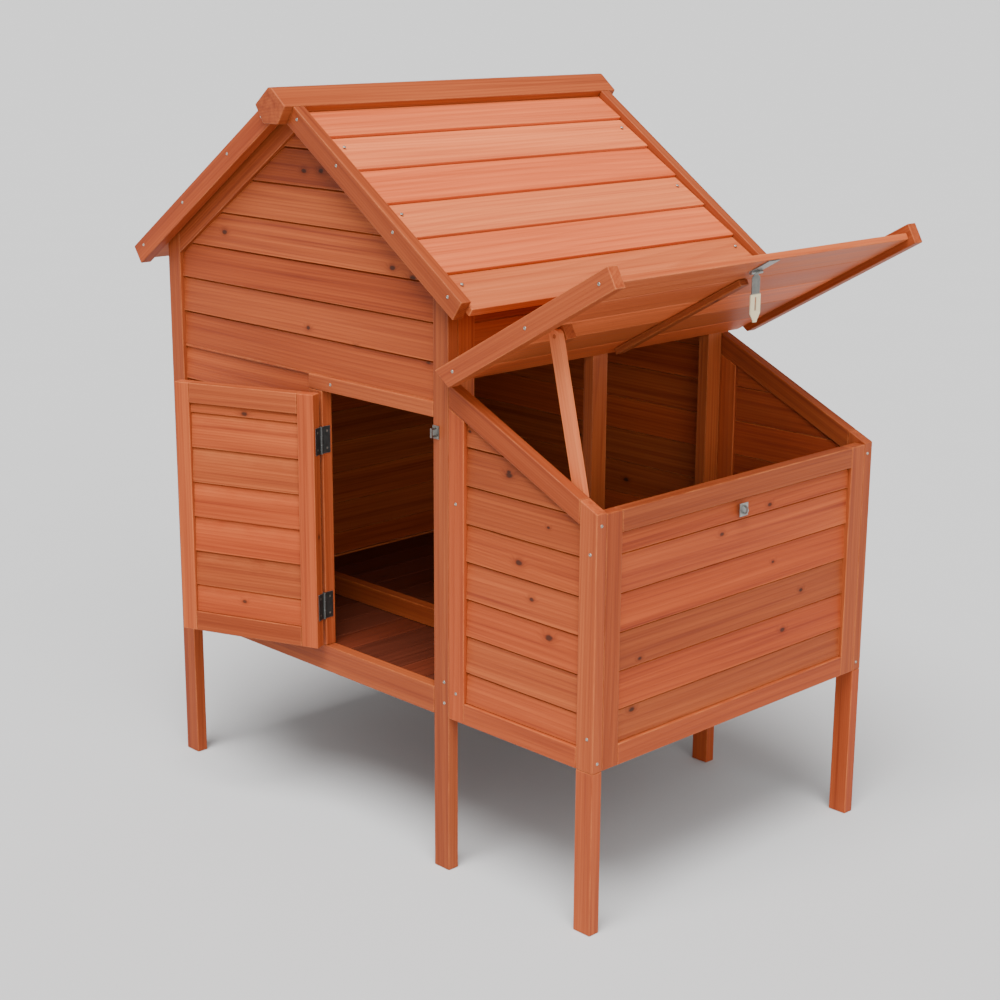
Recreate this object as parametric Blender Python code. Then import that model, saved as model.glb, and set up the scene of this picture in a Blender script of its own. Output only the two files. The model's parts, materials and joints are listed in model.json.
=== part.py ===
"""Small hen house on four legs with a nest box on its +X side, built of thin stained fir stock.

Metres, +Z up. The door wall faces -Y. The house and the nest box stand still; the door, its slide
bolt, the nest box lid, the hasp strap and the prop stick each hang from an empty on their own axis.
The origin is at ground level under the middle of the whole object.
"""
import math

import bmesh
import bpy
from mathutils import Vector

# Clearances and stock
GAP = 0.0004
POST_X = 0.033
STOCK = 0.020
RAIL = 0.033
BOARD_SET_BACK = 0.005
BOARD_THICK = 0.011
LAP_STEP = 0.003
LAP_PITCH = 0.0586
FIRST_LAP_Z = 0.338

# House
HOUSE_X = 0.700
HOUSE_Y = 0.648
RAIL_LOW = 0.255
SILL_TOP = 0.299
FLOOR_LOW = 0.287
FLOOR_TOP = 0.297
FLOOR_PITCH = 0.060
FLOOR_GROOVE = 0.0015
JAMB_LOW_X = 0.373
DOOR_GAP_LOW_X = 0.406
HEADER_Z = 0.724
GABLE_Z = 0.748
EAVE_BOARD_Z = 0.783
STILE_Y = 0.053
MIDDLE_POST_Y = (0.312, 0.345)
ROOST_Y = (0.190, 0.210)
ROOST_TOP = 0.3305

# Roof: depths are measured square to the slope, from the plane of the verge battens' tops
ROOF_ANGLE = math.radians(34.6)
ROOF_RIDGE_Z = 1.1915
CAP_TOP_Z = 1.193
CAP_SIDE_RUN = 0.0451
CAP_DEPTH = 0.034
CAP_Y = (-0.046, 0.694)
VERGE_RUN = 0.497
EAVE_RUN = 0.505
VERGE_Y = 0.029
VERGE_IN_Y = 0.009
ROOF_BOARD_TOP = 0.008
ROOF_LAP_STEP = 0.004
ROOF_BOARD_LOW = 0.022
RAFTER_LOW = 0.056
ROOF_PITCH = 0.079
ROOF_FIRST_LAP = 0.110

# Nest box
NEST_X = 1.002
NEST_RIM_Z = 0.6407
LID_SHUT = math.radians(24.8)
NEST_RAIL_TOP = 0.288
OUTER_RAIL_LOW = 0.606
OUTER_TOP = 0.639
LEDGE_X = (0.947, 0.967)

# Lid: runs are measured down the lid from its hinge axis, heights square to it
LID_AXIS_X = 0.703
LID_AXIS_Z = 0.792
LID_OPEN = math.radians(29.2)
LID_BOARD_LOW = -0.0114
LID_BOARD_TOP = -0.0007
LID_RUN = (0.004, 0.382)
LID_LAPS = (0.066, 0.145, 0.224, 0.303)
LID_BATTEN_END = 0.390
LID_BATTEN_TOP = 0.011
LID_BATTEN_LOW = -0.022
LID_HINGE_Y = (0.100, 0.548)
MIDDLE_BATTEN_RUN = (0.030, 0.308)
MIDDLE_BATTEN_Y = (0.321, 0.341)
MIDDLE_BATTEN_DEEP = 0.010

# Prop stick
PROP_RUN = 0.207
PROP_DROP = -0.0224
PROP_LEAN = math.radians(13.4)
PROP_LENGTH = 0.2348
PROP_WIDE = 0.020
PROP_Y = (0.021, 0.031)
PROP_HOLE = 0.0034
PROP_PEG = 0.0030
PIVOT_BLOCK = (0.012, 0.010)

# Hasp
HASP_RUN = 0.342
HASP_DROP = -0.0147
HASP_Y = 0.322
HASP_HALF = 0.013
HASP_RADIUS = 0.0028
STRAP_TAB = 0.0055
STRAP_THICK = 0.0016
STRAP_LENGTH = 0.073
STRAP_SLOT = (0.004, -0.056, -0.036)
PLATE_THICK = 0.0014
STAPLE_Z = 0.589
STAPLE_HALF = (0.0095, 0.0100)
LOOP_OUT = (0.0085, 0.0072)
LOOP_IN = (0.0061, 0.0048)
LOOP_THICK = 0.0024

# Door
DOOR_AXIS_X = 0.407
DOOR_AXIS_Y = -0.003
DOOR_OPEN = math.radians(158.0)
DOOR_RUN = (0.00135, 0.2575)
DOOR_Z = (0.301, 0.722)
DOOR_STILE_RUNS = (0.031, 0.231)
DOOR_HINGE_Z = (0.6445, 0.3685)
HINGE_TALL = 0.044
LEAF_THICK = 0.0008
LID_LEAF_HIGH = 0.024
LID_LEAF_RUN = 0.030
KNUCKLE = 0.0026
PIN = 0.0011
DOOR_LEAF_END = 0.018
DOOR_LEAF_FIXED = (-0.00075, -0.00005)
DOOR_LEAF_MOVING = (0.00035, 0.00105)
DOOR_SET_BACK = 0.004
DOOR_FIRST_BOARD = 0.046
BOLT_Z = 0.703
BOLT_Y = -0.002
BOLT_X = 0.220
BOLT_RADIUS = 0.0030
BOLT_HOLE = 0.0034
BOLT_REACH = (-0.030, 0.036)
BOLT_BASE_RUN = (0.196, 0.250)
BOLT_GUIDES = (0.200, 0.240)
GUIDE_HIGH = 0.0055
GUIDE_WIDE = 0.006
KEEPER_WIDE = 0.013
KEEPER_HALF = 0.010

SIDES = 24
COS = math.cos(ROOF_ANGLE)
SIN = math.sin(ROOF_ANGLE)
TAN = math.tan(ROOF_ANGLE)
MID_X = HOUSE_X / 2


def clear_scene():
    for obj in list(bpy.data.objects):
        bpy.data.objects.remove(obj)


def material(name, colour, roughness, metallic):
    made = bpy.data.materials.get(name)
    if made is None:
        made = bpy.data.materials.new(name)
        made.use_nodes = True
        shader = made.node_tree.nodes["Principled BSDF"]
        shader.inputs["Base Color"].default_value = (*colour, 1.0)
        shader.inputs["Roughness"].default_value = roughness
        shader.inputs["Metallic"].default_value = metallic
    return made


def frame_wood():
    return material("frame_wood", (0.52, 0.17, 0.065), 0.55, 0.0)


def board_wood():
    return material("board_wood", (0.47, 0.15, 0.06), 0.6, 0.0)


def roof_wood():
    return material("roof_wood", (0.60, 0.25, 0.12), 0.6, 0.0)


def floor_wood():
    return material("floor_wood", (0.42, 0.14, 0.06), 0.65, 0.0)


def pale_wood():
    return material("pale_wood", (0.60, 0.28, 0.15), 0.55, 0.0)


def hinge_steel():
    return material("hinge_steel", (0.23, 0.23, 0.22), 0.4, 1.0)


def bright_steel():
    return material("bright_steel", (0.62, 0.62, 0.60), 0.3, 1.0)


def empty(name, parent, place, turn=(0.0, 0.0, 0.0)):
    made = bpy.data.objects.new(name, None)
    bpy.context.scene.collection.objects.link(made)
    made.parent = parent
    made.location = place
    made.rotation_euler = turn
    return made


def add(name, shape, look, parent):
    """One named object from a bmesh, with its faces out."""
    bmesh.ops.recalc_face_normals(shape, faces=shape.faces)
    mesh = bpy.data.meshes.new(name)
    shape.to_mesh(mesh)
    shape.free()
    mesh.materials.append(look)
    mesh.shade_smooth()
    mesh.set_sharp_from_angle(angle=math.radians(30))
    made = bpy.data.objects.new(name, mesh)
    bpy.context.scene.collection.objects.link(made)
    made.parent = parent
    return made


def point(plane, across, up, along):
    """A corner of an outline drawn in a plane, moved along that plane's normal."""
    if plane == "XZ":
        return (across, along, up)
    if plane == "YZ":
        return (along, across, up)
    return (across, up, along)


def prism(plane, outline, low, high):
    """The outline pushed from low to high along the normal of its plane."""
    shape = bmesh.new()
    corners = [shape.verts.new(point(plane, a, b, low)) for a, b in outline]
    face = shape.faces.new(corners)
    pushed = bmesh.ops.extrude_face_region(shape, geom=[face])
    moved = [item for item in pushed["geom"] if isinstance(item, bmesh.types.BMVert)]
    bmesh.ops.translate(shape, verts=moved, vec=Vector(point(plane, 0.0, 0.0, high - low)))
    return shape


def box(low, high):
    return prism("XZ", [(low[0], low[2]), (high[0], low[2]), (high[0], high[2]), (low[0], high[2])],
                 low[1], high[1])


def rod(axis, centre, radius, low, high):
    """A round bar along one axis; centre holds the two other coordinates."""
    turns = [2 * math.pi * i / SIDES for i in range(SIDES)]
    outline = [(centre[0] + radius * math.cos(t), centre[1] + radius * math.sin(t)) for t in turns]
    return prism({"Y": "XZ", "X": "YZ", "Z": "XY"}[axis], outline, low, high)


def ring(plane, outer, inner, low, high):
    """A frame of four members as one solid; outer and inner are (low, high) corner pairs."""
    shape = bmesh.new()

    def loop(pair, along):
        (a0, b0), (a1, b1) = pair
        return [shape.verts.new(point(plane, a, b, along))
                for a, b in ((a0, b0), (a1, b0), (a1, b1), (a0, b1))]

    out_low, out_high = loop(outer, low), loop(outer, high)
    in_low, in_high = loop(inner, low), loop(inner, high)
    for i in range(4):
        j = (i + 1) % 4
        shape.faces.new((out_low[i], out_low[j], in_low[j], in_low[i]))
        shape.faces.new((out_high[i], out_high[j], in_high[j], in_high[i]))
        shape.faces.new((out_low[i], out_low[j], out_high[j], out_high[i]))
        shape.faces.new((in_low[i], in_low[j], in_high[j], in_high[i]))
    return shape


def cut(shape, place, normal):
    """Takes off what lies on the side the normal points to, and closes the cut."""
    whole = shape.verts[:] + shape.edges[:] + shape.faces[:]
    made = bmesh.ops.bisect_plane(shape, geom=whole, plane_co=place, plane_no=normal, clear_outer=True)
    rim = [item for item in made["geom_cut"] if isinstance(item, bmesh.types.BMEdge)]
    bmesh.ops.contextual_create(shape, geom=rim)
    return shape


def combine(target, shape, operation):
    """Adds or takes away a second solid with an exact Boolean."""
    helper = add(target.name + "_" + operation.lower() + str(len(target.modifiers)), shape,
                 target.data.materials[0], target.parent)
    helper.hide_render = True
    helper.display_type = "WIRE"
    modifier = target.modifiers.new(operation.title(), "BOOLEAN")
    modifier.operation = operation
    modifier.solver = "EXACT"
    modifier.object = helper


def lap_profile(low, high, first, pitch, step, thick):
    """Stacked boards seen from their ends: (height, depth behind the front plane) corners."""
    start = first + pitch * math.floor((low - first) / pitch + 1e-6)
    corners = [(low, step * (low - start) / pitch)]
    line = start + pitch
    while line < high - 1e-6:
        corners.append((line, step))
        corners.append((line, 0.0))
        line += pitch
    corners.append((high, step * (high - line + pitch) / pitch))
    corners.append((high, thick))
    corners.append((low, thick))
    return corners


def wall_boards(side, face, low, high, z_low, z_high):
    """Lapped wall boards. side is -Y, +Y, -X or +X; face is where their front plane lies."""
    outward = -1.0 if side[0] == "-" else 1.0
    profile = lap_profile(z_low, z_high, FIRST_LAP_Z, LAP_PITCH, LAP_STEP, BOARD_THICK)
    outline = [(face - outward * depth, z) for z, depth in profile]
    return prism("YZ" if side[1] == "Y" else "XZ", outline, low, high)


def roof_z(x, depth):
    """Height of the roof at x, at a depth below the verge battens' top plane."""
    return ROOF_RIDGE_Z - abs(x - MID_X) * TAN - depth / COS


def roof_point(run, depth, side):
    return (MID_X + side * (run * COS - depth * SIN), ROOF_RIDGE_Z - run * SIN - depth * COS)


def under_roof(shape, depth, sides=(-1, 1)):
    for side in sides:
        x, z = roof_point(0.1, depth, side)
        cut(shape, Vector((x, 0.0, z)), Vector((side * SIN, 0.0, COS)))
    return shape


def rim_z(x):
    """Top of the nest box walls, just below the shut lid."""
    return NEST_RIM_Z + (NEST_X - x) * math.tan(LID_SHUT)


def corner_posts(root):
    top = ROOF_BOARD_LOW + GAP
    for end, y in (("front", 0.0), ("back", HOUSE_Y - STOCK)):
        for hand, x in (("left", 0.0), ("right", HOUSE_X - POST_X)):
            outline = [(x, 0.0), (x + POST_X, 0.0), (x + POST_X, roof_z(x + POST_X, top)),
                       (x, roof_z(x, top))]
            add("post_%s_%s" % (end, hand), prism("XZ", outline, y, y + STOCK), frame_wood(), root)


def bottom_rails(root):
    inner = (POST_X + GAP, HOUSE_X - POST_X - GAP)
    sides = (STOCK + GAP, HOUSE_Y - STOCK - GAP)
    rails = {
        "front_bottom_rail": ((inner[0], 0.0), (inner[1], STOCK)),
        "back_bottom_rail": ((inner[0], HOUSE_Y - STOCK), (inner[1], HOUSE_Y)),
        "left_bottom_rail": ((0.0, sides[0]), (STOCK, sides[1])),
        "right_bottom_rail": ((HOUSE_X - STOCK, sides[0]), (HOUSE_X, sides[1])),
    }
    for name, (low, high) in rails.items():
        add(name, box((*low, RAIL_LOW), (*high, SILL_TOP)), frame_wood(), root)


def front_door_frame(root):
    right = HOUSE_X - POST_X - GAP
    outline = [(JAMB_LOW_X, SILL_TOP + GAP), (DOOR_GAP_LOW_X, SILL_TOP + GAP),
               (DOOR_GAP_LOW_X, HEADER_Z), (right, HEADER_Z), (right, GABLE_Z - GAP),
               (JAMB_LOW_X, GABLE_Z - GAP)]
    add("front_door_frame", prism("XZ", outline, 0.0, STOCK), frame_wood(), root)


def rafters(root, name, y):
    """The two gable rafters under the roof boards, halved together under the ridge cap."""
    left = POST_X + GAP
    top = ROOF_BOARD_LOW + GAP
    run = CAP_SIDE_RUN + GAP
    half = [(left, roof_z(left, RAFTER_LOW)), (left, roof_z(left, top)), roof_point(run, top, -1),
            roof_point(run, CAP_DEPTH + GAP, -1)]
    outline = half + [(HOUSE_X - x, z) for x, z in reversed(half)]
    outline.append((MID_X, roof_z(MID_X, RAFTER_LOW)))
    add(name, prism("XZ", outline, y, y + STOCK), frame_wood(), root)


def house_walls(root):
    left, right = POST_X + GAP, HOUSE_X - POST_X - GAP
    front, back = BOARD_SET_BACK, HOUSE_Y - BOARD_SET_BACK
    above = ROOF_RIDGE_Z
    low = SILL_TOP + GAP
    panel = wall_boards("-Y", front, left, JAMB_LOW_X - GAP, low, GABLE_Z - GAP)
    add("front_wall_boards", panel, board_wood(), root)
    panel = under_roof(wall_boards("-Y", front, left, right, GABLE_Z, above), RAFTER_LOW + GAP)
    add("front_gable_boards", panel, board_wood(), root)
    panel = under_roof(wall_boards("+Y", back, left, right, low, above), RAFTER_LOW + GAP)
    add("back_wall_boards", panel, board_wood(), root)
    side_low, side_high = STOCK + GAP, HOUSE_Y - STOCK - GAP
    panel = wall_boards("-X", BOARD_SET_BACK, side_low, side_high, low, above)
    add("left_wall_boards", under_roof(panel, ROOF_BOARD_LOW + GAP, (-1,)), board_wood(), root)
    panel = wall_boards("+X", HOUSE_X, STILE_Y + GAP, HOUSE_Y - STILE_Y - GAP, EAVE_BOARD_Z, above)
    add("right_eave_boards", under_roof(panel, ROOF_BOARD_LOW + GAP, (1,)), board_wood(), root)


def right_wall_posts(root):
    low, inner = SILL_TOP + GAP, HOUSE_X - STOCK
    top = ROOF_BOARD_LOW + GAP
    for name, y_low, y_high in (("right_stile_front", STOCK + GAP, STILE_Y),
                                ("right_stile_back", HOUSE_Y - STILE_Y, HOUSE_Y - STOCK - GAP)):
        outline = [(inner, low), (HOUSE_X, low), (HOUSE_X, roof_z(HOUSE_X, top)),
                   (inner, roof_z(inner, top))]
        add(name, prism("XZ", outline, y_low, y_high), frame_wood(), root)
    behind = HOUSE_X - BOARD_THICK - GAP
    outline = [(inner, low), (HOUSE_X, low), (HOUSE_X, EAVE_BOARD_Z - GAP),
               (behind, EAVE_BOARD_Z - GAP), (behind, roof_z(behind, top)), (inner, roof_z(inner, top))]
    add("right_middle_post", prism("XZ", outline, *MIDDLE_POST_Y), frame_wood(), root)


def plank_floor(root, name, x_low, x_high):
    """Floor planks that run along Y, with a shallow groove at every joint."""
    outline = [(x_low, FLOOR_LOW), (x_high, FLOOR_LOW), (x_high, FLOOR_TOP)]
    x = x_high - FLOOR_PITCH
    while x > x_low + FLOOR_PITCH / 3:
        outline += [(x + FLOOR_GROOVE, FLOOR_TOP), (x, FLOOR_TOP - 2 * FLOOR_GROOVE),
                    (x - FLOOR_GROOVE, FLOOR_TOP)]
        x -= FLOOR_PITCH
    outline.append((x_low, FLOOR_TOP))
    add(name, prism("XZ", outline, STOCK + GAP, HOUSE_Y - STOCK - GAP), floor_wood(), root)


def inside_house(root):
    plank_floor(root, "house_floor", STOCK + GAP, HOUSE_X - STOCK - GAP)
    bar = box((STOCK + GAP, ROOST_Y[0], FLOOR_TOP + GAP),
              (HOUSE_X - STOCK - GAP, ROOST_Y[1], ROOST_TOP))
    add("roost_bar", bar, frame_wood(), root)


def ridge_cap(root):
    half = [roof_point(CAP_SIDE_RUN, CAP_DEPTH, -1), roof_point(CAP_SIDE_RUN, 0.0, -1)]
    outline = half + [(MID_X, CAP_TOP_Z)] + [(HOUSE_X - x, z) for x, z in reversed(half)]
    add("ridge_cap", prism("XZ", outline, *CAP_Y), roof_wood(), root)


def roof_side(root, hand, side):
    run = CAP_SIDE_RUN + GAP
    profile = lap_profile(run, EAVE_RUN, ROOF_FIRST_LAP, ROOF_PITCH, ROOF_LAP_STEP, ROOF_BOARD_LOW)
    outline = []
    for place, depth in profile:
        lying = ROOF_BOARD_LOW if depth == ROOF_BOARD_LOW else ROOF_BOARD_TOP + ROOF_LAP_STEP - depth
        outline.append(roof_point(place, lying, side))
    low, high = -VERGE_IN_Y + GAP, HOUSE_Y + VERGE_IN_Y - GAP
    add("roof_%s_boards" % hand, prism("XZ", outline, low, high), roof_wood(), root)
    outline = [roof_point(run, 0.0, side), roof_point(VERGE_RUN, 0.0, side),
               roof_point(VERGE_RUN, RAIL, side), roof_point(run, RAIL, side)]
    for end, y in (("front", -VERGE_Y), ("back", HOUSE_Y + VERGE_IN_Y)):
        add("roof_%s_verge_%s" % (hand, end), prism("XZ", outline, y, y + STOCK), roof_wood(), root)


def nest_frame(root):
    slope_rail = RAIL / math.cos(LID_SHUT)
    back_low, back_high = HOUSE_X + GAP, HOUSE_X + POST_X
    post_low, end = NEST_X - POST_X, NEST_X - POST_X - GAP
    post = [(post_low, 0.0), (NEST_X, 0.0), (NEST_X, rim_z(NEST_X)), (post_low, rim_z(post_low))]
    frame = [(back_low, RAIL_LOW), (end, RAIL_LOW), (end, NEST_RAIL_TOP), (back_high, NEST_RAIL_TOP),
             (back_high, rim_z(back_high) - slope_rail), (end, rim_z(end) - slope_rail),
             (end, rim_z(end)), (back_low, rim_z(back_low))]
    for hand, y, side in (("front", 0.0, "-Y"), ("back", HOUSE_Y - STOCK, "+Y")):
        add("nest_post_" + hand, prism("XZ", post, y, y + STOCK), frame_wood(), root)
        made = add("nest_side_%s_frame" % hand, prism("XZ", frame, y, y + STOCK), frame_wood(), root)
        if hand == "front":
            combine(made, prop_ledge(), "UNION")
        face = BOARD_SET_BACK if hand == "front" else HOUSE_Y - BOARD_SET_BACK
        panel = wall_boards(side, face, back_high + GAP, end, NEST_RAIL_TOP + GAP, OUTER_TOP + RAIL * 3)
        cut(panel, Vector((end, 0.0, rim_z(end) - slope_rail - GAP)),
            Vector((math.sin(LID_SHUT), 0.0, math.cos(LID_SHUT))))
        add("nest_side_%s_boards" % hand, panel, board_wood(), root)


def prop_ledge():
    """A block on the inner face of the side rail, on which the prop stick's foot stands."""
    foot_x = LID_AXIS_X + PROP_RUN * math.cos(LID_OPEN) - PROP_DROP * math.sin(LID_OPEN)
    foot_z = LID_AXIS_Z + PROP_RUN * math.sin(LID_OPEN) + PROP_DROP * math.cos(LID_OPEN)
    reach = PROP_LENGTH + 1.5 * GAP
    foot_x += reach * math.sin(PROP_LEAN)
    foot_z -= reach * math.cos(PROP_LEAN)
    tops = [foot_z + (x - foot_x) * math.tan(PROP_LEAN) for x in LEDGE_X]
    outline = [(LEDGE_X[0], tops[0] - STOCK * 0.7), (LEDGE_X[1], tops[0] - STOCK * 0.7),
               (LEDGE_X[1], tops[1]), (LEDGE_X[0], tops[0])]
    return prism("XZ", outline, STOCK * 0.7, PROP_Y[1] + 0.001)


def nest_outer_panel(root):
    low, high = STOCK + GAP, HOUSE_Y - STOCK - GAP
    inner = ((STILE_Y, NEST_RAIL_TOP), (HOUSE_Y - STILE_Y, OUTER_RAIL_LOW))
    frame = ring("YZ", ((low, RAIL_LOW), (high, OUTER_TOP)), inner, NEST_X - STOCK, NEST_X)
    add("nest_outer_frame", frame, frame_wood(), root)
    panel = wall_boards("+X", NEST_X - BOARD_SET_BACK, STILE_Y + GAP, HOUSE_Y - STILE_Y - GAP,
                        NEST_RAIL_TOP + GAP, OUTER_RAIL_LOW - GAP)
    add("nest_outer_boards", panel, board_wood(), root)
    plank_floor(root, "nest_floor", HOUSE_X + GAP, NEST_X - STOCK - GAP)


def lid_boards(lid):
    outline = [(LID_RUN[0], LID_BOARD_LOW), (LID_RUN[1], LID_BOARD_LOW), (LID_RUN[1], LID_BOARD_TOP)]
    for run in reversed(LID_LAPS):
        outline += [(run, LID_BOARD_TOP - ROOF_LAP_STEP), (run, LID_BOARD_TOP)]
    outline.append((LID_RUN[0], LID_BOARD_TOP - ROOF_LAP_STEP))
    low, high = -VERGE_IN_Y + GAP, HOUSE_Y + VERGE_IN_Y - GAP
    add("lid_boards", prism("XZ", outline, low, high), roof_wood(), lid)


def lid_battens(lid):
    slant = (LID_BATTEN_TOP - LID_BATTEN_LOW) * math.tan(LID_SHUT)
    near = LID_RUN[0] + 0.001
    outline = [(near, LID_BATTEN_TOP), (LID_BATTEN_END, LID_BATTEN_TOP),
               (LID_BATTEN_END, LID_BATTEN_LOW), (near + slant, LID_BATTEN_LOW)]
    for end, y in (("front", -VERGE_Y), ("back", HOUSE_Y + VERGE_IN_Y)):
        add("lid_batten_" + end, prism("XZ", outline, y, y + STOCK), roof_wood(), lid)
    low = LID_BOARD_LOW - GAP
    middle = box((MIDDLE_BATTEN_RUN[0], MIDDLE_BATTEN_Y[0], low - MIDDLE_BATTEN_DEEP),
                 (MIDDLE_BATTEN_RUN[1], MIDDLE_BATTEN_Y[1], low))
    add("lid_batten_middle", middle, roof_wood(), lid)


def knuckle_bands(length):
    """Heights of a hinge's three knuckles, from its lower end: fixed, moving, fixed."""
    third = length / 3
    return (0.0, third - GAP / 2), (third + GAP / 2, 2 * third - GAP / 2), (2 * third + GAP / 2, length)


def lid_hinge(root, lid, end, y):
    """A butt hinge along Y: one leaf on the eave boards, one on top of the lid."""
    low = y - HINGE_TALL / 2
    first, middle, last = knuckle_bands(HINGE_TALL)
    wall = HOUSE_X + GAP
    leaf = LEAF_THICK
    fixed = box((wall, low, LID_AXIS_Z + KNUCKLE + GAP),
                (wall + leaf, low + HINGE_TALL, LID_AXIS_Z + LID_LEAF_HIGH))
    fixed = add("lid_hinge_%s_fixed" % end, fixed, hinge_steel(), root)
    for band in (first, last):
        tab = box((wall, low + band[0], LID_AXIS_Z), (wall + leaf, low + band[1], LID_AXIS_Z + 0.005))
        combine(fixed, tab, "UNION")
        barrel = rod("Y", (LID_AXIS_X, LID_AXIS_Z), KNUCKLE, low + band[0], low + band[1])
        combine(fixed, barrel, "UNION")
    pin = rod("Y", (LID_AXIS_X, LID_AXIS_Z), PIN, low + 0.001, low + HINGE_TALL - 0.001)
    combine(fixed, pin, "UNION")
    moving = box((KNUCKLE + GAP, low, -GAP), (LID_LEAF_RUN, low + HINGE_TALL, -GAP + leaf))
    moving = add("lid_hinge_%s_moving" % end, moving, hinge_steel(), lid)
    tab = box((PIN + 2 * GAP, low + middle[0], -GAP), (0.005, low + middle[1], -GAP + leaf))
    combine(moving, tab, "UNION")
    barrel = rod("Y", (0.0, 0.0), KNUCKLE, low + middle[0], low + middle[1])
    combine(moving, barrel, "UNION")
    combine(moving, rod("Y", (0.0, 0.0), PIN + GAP, low, low + HINGE_TALL), "DIFFERENCE")


def hasp(root, lid, pivot):
    """Leaf under the lid, strap that hangs from it, and staple on the nest box front."""
    half, radius = HASP_HALF, HASP_RADIUS
    plate = (LID_BOARD_LOW - GAP - PLATE_THICK, LID_BOARD_LOW - GAP)
    leaf = box((HASP_RUN + radius + GAP, HASP_Y - half, plate[0]),
               (LID_RUN[1] - 0.002, HASP_Y + half, plate[1]))
    leaf = add("hasp_leaf", leaf, hinge_steel(), lid)
    for low, high in ((-half, -STRAP_TAB), (STRAP_TAB, half)):
        tab = box((HASP_RUN, HASP_Y + low, plate[0]), (HASP_RUN + 2 * radius, HASP_Y + high, plate[1]))
        combine(leaf, tab, "UNION")
        barrel = rod("Y", (HASP_RUN, HASP_DROP), radius, HASP_Y + low, HASP_Y + high)
        combine(leaf, barrel, "UNION")
    pin = rod("Y", (HASP_RUN, HASP_DROP), PIN, HASP_Y - half + 0.001, HASP_Y + half - 0.001)
    combine(leaf, pin, "UNION")
    hasp_strap(pivot)
    hasp_staple(root)


def hasp_strap(pivot):
    """Narrow neck, slotted plate below it and a pointed end, on a knuckle around the pin."""
    half = STRAP_THICK / 2
    side = [(0.0048, -0.001), (0.0048, -0.004), (0.0088, -0.007), (0.0088, -0.030), (0.0115, -0.033),
            (0.0115, -0.060), (0.0050, -0.070), (0.0040, -STRAP_LENGTH)]
    outline = side + [(-y, z) for y, z in reversed(side)]
    strap = add("hasp_strap", prism("YZ", outline, -half, half), bright_steel(), pivot)
    knuckle = STRAP_TAB - 0.0005
    combine(strap, rod("Y", (0.0, 0.0), HASP_RADIUS, -knuckle, knuckle), "UNION")
    combine(strap, rod("Y", (0.0, 0.0), PIN + GAP, -HASP_HALF, HASP_HALF), "DIFFERENCE")
    wide, low, high = STRAP_SLOT
    combine(strap, box((-knuckle, -wide / 2, low), (knuckle, wide / 2, high)), "DIFFERENCE")


def hasp_staple(root):
    """Small plate on the nest box's top rail with a loop standing out of it."""
    near = NEST_X + GAP
    plate = box((near, HASP_Y - STAPLE_HALF[0], STAPLE_Z - STAPLE_HALF[1]),
                (near + PLATE_THICK, HASP_Y + STAPLE_HALF[0], STAPLE_Z + STAPLE_HALF[1]))
    staple = add("hasp_staple", plate, hinge_steel(), root)
    turns = [math.pi * (i / 12 - 0.5) for i in range(13)]
    centre = near + PLATE_THICK / 2
    arch = [(centre + LOOP_OUT[0] * math.cos(t), STAPLE_Z + LOOP_OUT[1] * math.sin(t)) for t in turns]
    arch += [(centre + LOOP_IN[0] * math.cos(t), STAPLE_Z + LOOP_IN[1] * math.sin(t))
             for t in reversed(turns)]
    loop = prism("XZ", arch, HASP_Y - LOOP_THICK / 2, HASP_Y + LOOP_THICK / 2)
    combine(staple, loop, "UNION")


def prop(lid, pivot):
    """Stick with a round head on a wooden pivot block under the lid."""
    half = PROP_WIDE / 2
    turns = [math.pi * i / 12 for i in range(13)]
    outline = [(half * math.cos(t), half * math.sin(t)) for t in turns]
    outline += [(-half, -PROP_LENGTH), (half, -PROP_LENGTH)]
    stick = add("prop_stick", prism("XZ", outline, *PROP_Y), pale_wood(), pivot)
    combine(stick, rod("Y", (0.0, 0.0), PROP_HOLE, 0.0, 2 * PROP_Y[1]), "DIFFERENCE")
    reach, drop = PIVOT_BLOCK
    block = box((PROP_RUN - reach, PROP_Y[1] + 2 * GAP, PROP_DROP - drop),
                (PROP_RUN + reach, PROP_Y[1] + STOCK, LID_BOARD_LOW - GAP))
    block = add("prop_pivot", block, frame_wood(), lid)
    combine(block, rod("Y", (PROP_RUN, PROP_DROP), PROP_PEG, PROP_Y[0], PROP_Y[1] + STOCK / 2),
            "UNION")


def door_panel(door):
    low, high = DOOR_Z
    face = -DOOR_AXIS_Y
    back = face + STOCK
    stiles = (("door_stile_hinge", DOOR_RUN[0], DOOR_STILE_RUNS[0]),
              ("door_stile_latch", DOOR_STILE_RUNS[1], DOOR_RUN[1]))
    for name, start, end in stiles:
        add(name, box((start, face, low), (end, back, high)), frame_wood(), door)
    rail_top, rail_low = high - RAIL, low + RAIL
    outline = [(face, low), (back, low), (back, rail_low), (back - DOOR_SET_BACK, rail_low)]
    outline += [(back - DOOR_SET_BACK, rail_top), (back, rail_top), (back, high), (face, high)]
    outline += [(face, rail_top)]
    profile = lap_profile(rail_low, rail_top, rail_low + DOOR_FIRST_BOARD, LAP_PITCH, LAP_STEP, STOCK)
    boards = [(face + DOOR_SET_BACK + depth, z) for z, depth in profile[:-2]]
    outline += list(reversed(boards)) + [(face, rail_low)]
    start, end = DOOR_STILE_RUNS[0] + GAP, DOOR_STILE_RUNS[1] - GAP
    add("door_boards", prism("YZ", outline, start, end), board_wood(), door)


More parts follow.
